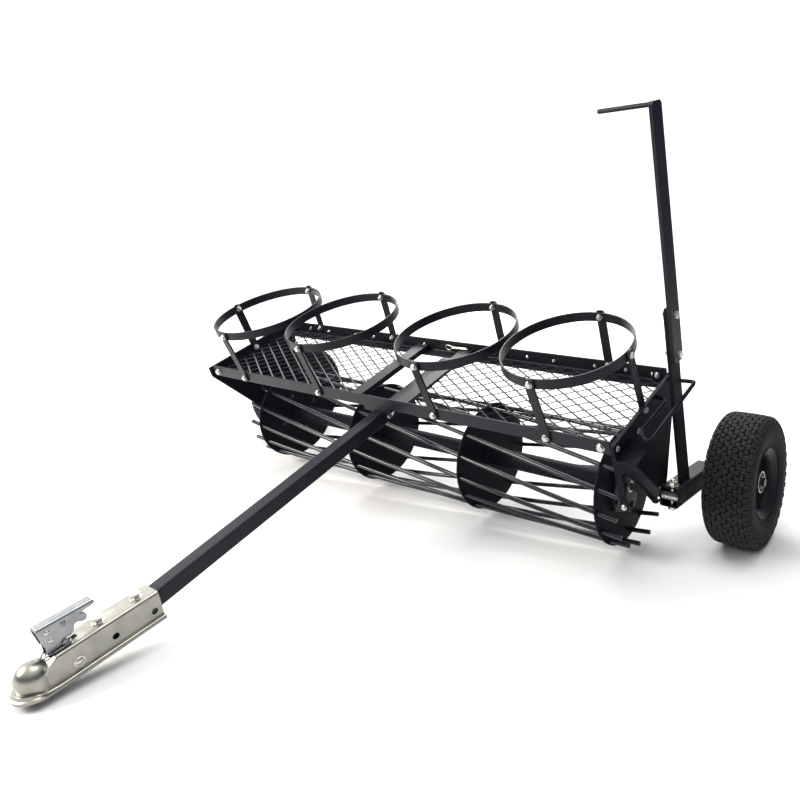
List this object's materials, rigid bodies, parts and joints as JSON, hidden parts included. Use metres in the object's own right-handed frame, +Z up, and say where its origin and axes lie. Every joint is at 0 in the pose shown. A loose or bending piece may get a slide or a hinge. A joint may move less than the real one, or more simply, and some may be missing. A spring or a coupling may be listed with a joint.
{
  "type": "tow-behind cultipacker",
  "caption": "Tow-behind cultipacker: helical rod cage roller under a mesh deck with bucket rings, square drawbar with ball coupler, lever-operated transport wheels.",
  "frame": {"origin": "on the ground, at the middle of the parked machine's bounding box", "axes": "+X across the machine towards the lever, -Y towards the coupler and the towing vehicle, +Z up"},
  "size_m": [1.922, 1.4648, 1.1111],
  "materials": {
    "black_powder_coat": "satin black powder coat over steel, lightly textured",
    "rim_black": "satin black paint",
    "zinc_fasteners": "bright zinc plating, slightly dulled",
    "coupler_zinc": "zinc plating with a faint yellow cast, pressed sheet",
    "tyre_rubber": "matt black rubber, block tread"
  },
  "bodies": {
    "frame": {"bucket_ring_1": "black_powder_coat", "bucket_ring_2": "black_powder_coat", "bucket_ring_3": "black_powder_coat", "bucket_ring_4": "black_powder_coat", "clamp_pin": "coupler_zinc", "coupler_body": "coupler_zinc", "coupler_bolt_front": "coupler_zinc", "coupler_bolt_rear": "coupler_zinc", "drawbar_saddle": "black_powder_coat", "drawbar_tube": "black_powder_coat", "end_plate_left": "black_powder_coat", "end_plate_right": "black_powder_coat", "front_leg_1": "black_powder_coat", "front_leg_2": "black_powder_coat", "front_leg_3": "black_powder_coat", "front_leg_4": "black_powder_coat", "front_rail": "black_powder_coat", "hairpin_clip": "zinc_fasteners", "hanger_bar": "black_powder_coat", "latch_pin": "coupler_zinc", "lever_bracket": "black_powder_coat", "lever_guide": "black_powder_coat", "mesh_beam_left": "black_powder_coat", "mesh_beam_right": "black_powder_coat", "mesh_panel_left": "black_powder_coat", "mesh_panel_right": "black_powder_coat", "rear_leg_1": "black_powder_coat", "rear_leg_2": "black_powder_coat", "rear_leg_3": "black_powder_coat", "rear_leg_4": "black_powder_coat", "rear_rail": "black_powder_coat", "side_leg_left": "black_powder_coat", "side_leg_right": "black_powder_coat"},
    "roller": {"roller_cage": "black_powder_coat", "roller_core": "black_powder_coat", "hub_bearing_left": "black_powder_coat", "hub_bearing_right": "black_powder_coat"},
    "lift": {"roller_shaft": "zinc_fasteners", "wheel_arm_left": "black_powder_coat", "wheel_arm_right": "black_powder_coat", "arm_bolt_left": "zinc_fasteners", "arm_bolt_right": "zinc_fasteners", "axle_bolt_left": "zinc_fasteners", "axle_bolt_right": "zinc_fasteners", "axle_spacer_left": "zinc_fasteners", "axle_spacer_right": "zinc_fasteners", "lever_lower": "black_powder_coat", "lever_upper": "black_powder_coat", "lever_bolt_lower": "zinc_fasteners", "lever_bolt_upper": "zinc_fasteners"},
    "wheel_left": {"rim_left": "rim_black", "tyre_left": "tyre_rubber"},
    "wheel_right": {"rim_right": "rim_black", "tyre_right": "tyre_rubber"},
    "latch": {"latch_handle": "coupler_zinc"},
    "trigger": {"latch_trigger": "coupler_zinc"},
    "clamp": {"ball_clamp": "coupler_zinc"}
  },
  "joints": [
    {"name": "roller_spin", "type": "hinge", "parent": "frame", "child": "roller", "pos_m": [0, 0.37148, 0.16904], "axis": [1, 0, 0], "continuous": true},
    {"name": "lift_pivot", "type": "hinge", "parent": "frame", "child": "lift", "pos_m": [0, 0.37148, 0.16904], "axis": [1, 0, 0], "range_deg": [-5, 33]},
    {"name": "wheel_left_spin", "type": "hinge", "parent": "lift", "child": "wheel_left", "pos_m": [-0.899, 0.56533, 0.16958], "axis": [1, 0, 0], "continuous": true},
    {"name": "wheel_right_spin", "type": "hinge", "parent": "lift", "child": "wheel_right", "pos_m": [0.899, 0.56533, 0.16958], "axis": [1, 0, 0], "continuous": true},
    {"name": "latch_hinge", "type": "hinge", "parent": "frame", "child": "latch", "pos_m": [0, -0.67036, 0.10708], "axis": [1, 0, 0], "range_deg": [0, 50]},
    {"name": "trigger_pivot", "type": "hinge", "parent": "latch", "child": "trigger", "pos_m": [0, -0.64968, 0.12977], "axis": [1, 0, 0], "range_deg": [0, 15], "stiffness_Nm_per_rad": 0.4},
    {"name": "clamp_pivot", "type": "hinge", "parent": "frame", "child": "clamp", "pos_m": [0, -0.63321, 0.04994], "axis": [1, 0, 0], "range_deg": [0, 10]}
  ],
  "couplings": [
    {"joint": "clamp_pivot", "follows": "latch_hinge", "ratio": 0.2}
  ]
}
